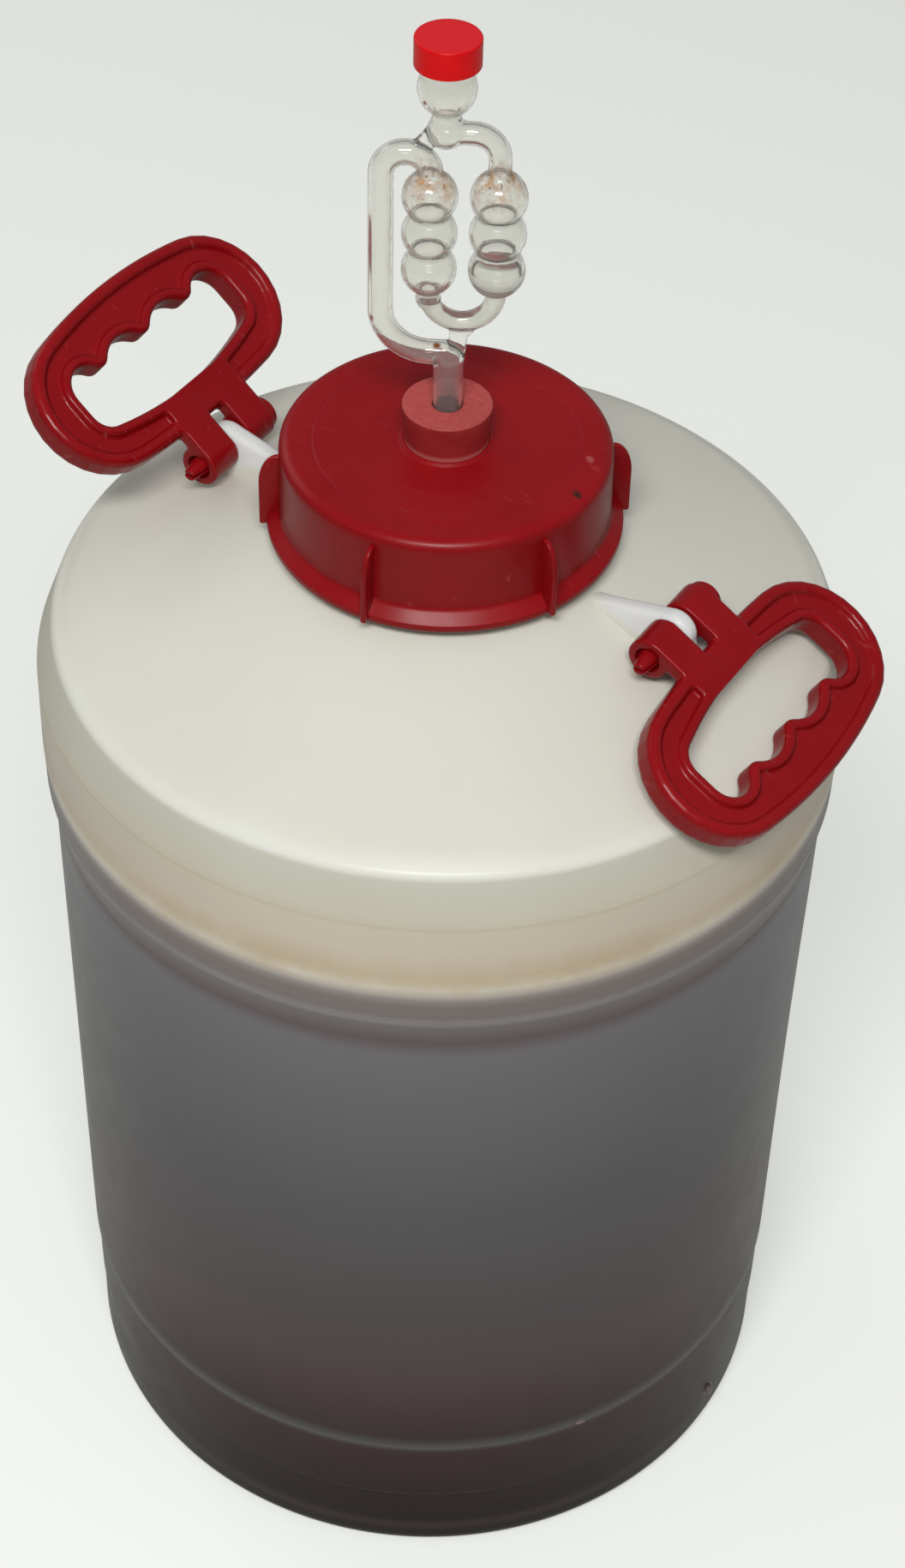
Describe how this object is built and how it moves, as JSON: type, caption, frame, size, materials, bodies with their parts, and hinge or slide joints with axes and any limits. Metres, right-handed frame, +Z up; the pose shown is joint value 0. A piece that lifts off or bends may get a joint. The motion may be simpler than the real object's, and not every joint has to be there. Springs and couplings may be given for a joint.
{
  "type": "fermenting bucket",
  "caption": "Wide blown fermenting barrel with ribbed screw lid, rubber stopper, glass bulb airlock and swinging carrying handles on pinned ears.",
  "frame": {"origin": "middle of the base, on the surface that the barrel stands on", "axes": "+Z up through the lid and stopper; the two handles swing on pins at +X and -X"},
  "size_m": [0.3358, 0.32, 0.6738],
  "materials": {
    "natural_polyethylene": "translucent satin, stained",
    "red_plastic": "worn satin gloss",
    "seal_rubber": "matte",
    "red_rubber": "matte",
    "clear_glass": "clear, fire polished",
    "water": "clear liquid",
    "bright_red_plastic": "glossy"
  },
  "bodies": {
    "barrel": {"barrel": "natural_polyethylene"},
    "gasket": {"lid_gasket": "seal_rubber"},
    "lid": {"lid": "red_plastic"},
    "stopper": {"stopper": "red_rubber"},
    "airlock": {"airlock_glass": "clear_glass", "cup_glass": "clear_glass", "airlock_liquid": "water"},
    "airlock_cap": {"airlock_cap": "bright_red_plastic"},
    "handle_right": {"handle_right": "red_plastic", "handle_pin_right": "red_plastic"},
    "handle_left": {"handle_left": "red_plastic", "handle_pin_left": "red_plastic"}
  },
  "joints": [
    {"name": "lid_lift", "type": "slide", "parent": "barrel", "child": "gasket", "axis": [0, 0, 1], "range_m": [0, 0.0161]},
    {"name": "lid_turn", "type": "hinge", "parent": "gasket", "child": "lid", "pos_m": [0, 0, 0.5], "axis": [0, 0, 1], "range_deg": [0, 720]},
    {"name": "stopper_pull", "type": "slide", "parent": "lid", "child": "stopper", "axis": [0, 0, 1], "range_m": [0, 0.02]},
    {"name": "airlock_pull", "type": "slide", "parent": "stopper", "child": "airlock", "axis": [0, 0, 1], "range_m": [0, 0.036]},
    {"name": "cap_pull", "type": "slide", "parent": "airlock", "child": "airlock_cap", "axis": [0, 0, 1], "range_m": [0, 0.012]},
    {"name": "handle_right_swing", "type": "hinge", "parent": "barrel", "child": "handle_right", "pos_m": [0.1014, 0, 0.4599], "axis": [0, -1, 0], "range_deg": [0, 134]},
    {"name": "handle_left_swing", "type": "hinge", "parent": "barrel", "child": "handle_left", "pos_m": [-0.1014, 0, 0.4599], "axis": [0, 1, 0], "range_deg": [-67.3, 66.7]}
  ],
  "couplings": [
    {"joint": "lid_lift", "follows": "lid_turn", "m_per_rad": 0.0012732}
  ]
}
